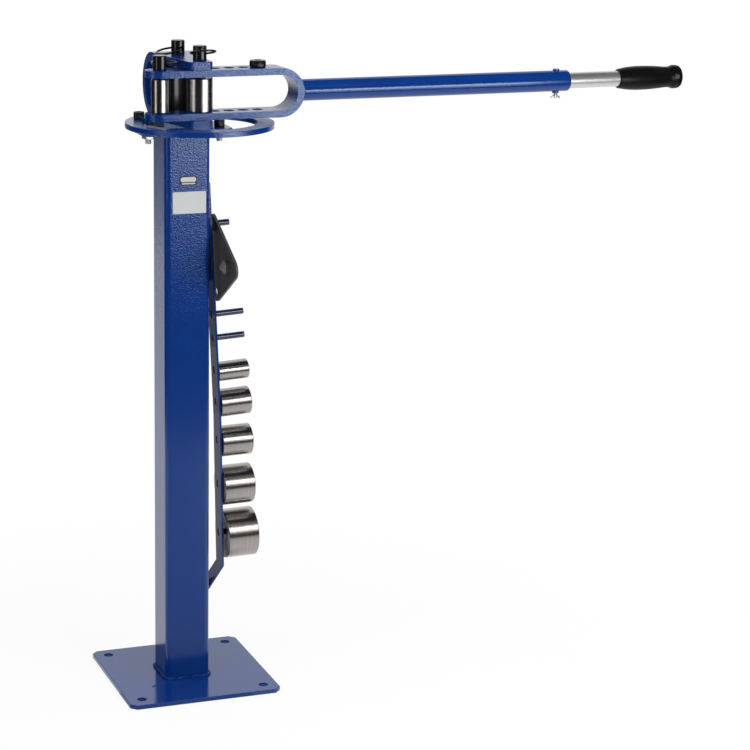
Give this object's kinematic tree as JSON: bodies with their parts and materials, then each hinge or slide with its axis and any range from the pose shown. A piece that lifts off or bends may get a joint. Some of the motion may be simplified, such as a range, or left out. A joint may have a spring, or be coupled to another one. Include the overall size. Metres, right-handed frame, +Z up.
{
  "type": "tube bender",
  "caption": "Pedestal tube bender: a bolted foot and square post carry a U frame in which a long-handled yoke swings a roller round a centre die; spare dies hang on pegs.",
  "frame": {"origin": "middle of the foot plate's four-hole bolt pattern, on the floor", "axes": "+X along the handle at rest, to the picture's right; +Y to the back, towards the frame's bend; +Z up"},
  "size_m": [0.8925, 0.319, 0.9972],
  "materials": {
    "blue_paint": "hammered blue enamel, semi-gloss",
    "black_oxide": "blackened steel, satin",
    "turned_steel": "turned bright steel",
    "zinc_plate": "bright zinc plate",
    "scale_metal": "satin metal strip",
    "grip_rubber": "black moulded rubber, satin",
    "plate_paint": "dark grey enamel, matt"
  },
  "bodies": {
    "stand": {"foot_plate": "blue_paint", "foot_weld": "blue_paint", "post": "blue_paint", "post_flange": "blue_paint", "head_flange": "blue_paint", "riser_block": "blue_paint", "flange_screws": "black_oxide", "flange_nuts": "zinc_plate", "angle_ring": "blue_paint", "degree_scale": "scale_metal", "ring_stop_screw": "black_oxide", "ring_stop_nut": "zinc_plate", "fixed_frame": "blue_paint", "storage_bar": "blue_paint", "storage_pegs": "blue_paint"},
    "yoke": {"swing_yoke": "blue_paint", "handle_tube": "blue_paint", "handle_weld": "blue_paint", "clamp_boss": "blue_paint", "guide_button": "blue_paint", "yoke_plug": "black_oxide"},
    "extension": {"extension_tube": "zinc_plate", "hand_grip": "grip_rubber"},
    "clamp": {"clamp_screw": "zinc_plate"},
    "centre_pin": {"centre_pin": "black_oxide"},
    "rear_pin": {"rear_pin": "black_oxide"},
    "follower_pin": {"follower_pin": "black_oxide"},
    "centre_ring": {"centre_pull_ring": "black_oxide"},
    "rear_ring": {"rear_pull_ring": "black_oxide"},
    "follower_ring": {"follower_pull_ring": "black_oxide"},
    "centre_roller": {"centre_roller": "turned_steel"},
    "follower_roller": {"follower_roller": "turned_steel"},
    "stop_block": {"stop_block": "black_oxide"},
    "die_30": {"die_30": "turned_steel"},
    "die_43": {"die_43": "turned_steel"},
    "die_48": {"die_48": "turned_steel"},
    "die_62": {"die_62": "turned_steel"},
    "die_76": {"die_76": "turned_steel"},
    "forming_plate": {"forming_plate": "plate_paint"}
  },
  "joints": [
    {"name": "yoke_swing", "type": "hinge", "parent": "stand", "child": "yoke", "pos_m": [-0.0045, -0.0905, 0.9276], "axis": [0, 0, 1], "range_deg": [-1, 53]},
    {"name": "extension_slide", "type": "slide", "parent": "yoke", "child": "extension", "axis": [1, 0, 0], "range_m": [-0.065, 0.25]},
    {"name": "clamp_screw_turn", "type": "hinge", "parent": "yoke", "child": "clamp", "pos_m": [0.5625, -0.0905, 0.9116], "axis": [0, 0, 1], "range_deg": [-360, 0]},
    {"name": "centre_pin_lift", "type": "slide", "parent": "stand", "child": "centre_pin", "axis": [0, 0, 1], "range_m": [0, 0.11]},
    {"name": "rear_pin_lift", "type": "slide", "parent": "stand", "child": "rear_pin", "axis": [0, 0, 1], "range_m": [0, 0.11]},
    {"name": "follower_pin_lift", "type": "slide", "parent": "yoke", "child": "follower_pin", "axis": [0, 0, 1], "range_m": [0, 0.085]},
    {"name": "centre_ring_swing", "type": "hinge", "parent": "centre_pin", "child": "centre_ring", "pos_m": [-0.0045, -0.0905, 0.9852], "axis": [1, 0, 0], "range_deg": [-30, 22]},
    {"name": "rear_ring_swing", "type": "hinge", "parent": "rear_pin", "child": "rear_ring", "pos_m": [-0.0145, -0.0145, 0.9852], "axis": [0.2588, -0.9659, 0], "range_deg": [-45, 0.5]},
    {"name": "follower_ring_swing", "type": "hinge", "parent": "follower_pin", "child": "follower_ring", "pos_m": [-0.0645, -0.0905, 0.9726], "axis": [-0.7771, 0.6293, 0], "range_deg": [-40, 10]},
    {"name": "centre_roller_spin", "type": "hinge", "parent": "yoke", "child": "centre_roller", "pos_m": [-0.0045, -0.0905, 0.9276], "axis": [0, 0, 1], "continuous": true},
    {"name": "follower_roller_spin", "type": "hinge", "parent": "yoke", "child": "follower_roller", "pos_m": [-0.0645, -0.0905, 0.9276], "axis": [0, 0, 1], "continuous": true},
    {"name": "stop_block_swivel", "type": "hinge", "parent": "stand", "child": "stop_block", "pos_m": [-0.0145, -0.0145, 0.9276], "axis": [0, 0, 1], "range_deg": [-12, 12]},
    {"name": "die_30_slide", "type": "slide", "parent": "stand", "child": "die_30", "axis": [0.9987, 0, 0.0512], "range_m": [0, 0.046]},
    {"name": "die_43_slide", "type": "slide", "parent": "stand", "child": "die_43", "axis": [0.9987, 0, 0.0512], "range_m": [0, 0.046]},
    {"name": "die_48_slide", "type": "slide", "parent": "stand", "child": "die_48", "axis": [0.9998, 0, 0.0211], "range_m": [0, 0.046]},
    {"name": "die_62_slide", "type": "slide", "parent": "stand", "child": "die_62", "axis": [0.9998, 0, 0.0211], "range_m": [0, 0.046]},
    {"name": "die_76_slide", "type": "slide", "parent": "stand", "child": "die_76", "axis": [0.9998, 0, 0.0211], "range_m": [0, 0.043]},
    {"name": "forming_plate_slide", "type": "slide", "parent": "stand", "child": "forming_plate", "axis": [0.9987, 0, 0.0512], "range_m": [0, 0.02]}
  ]
}
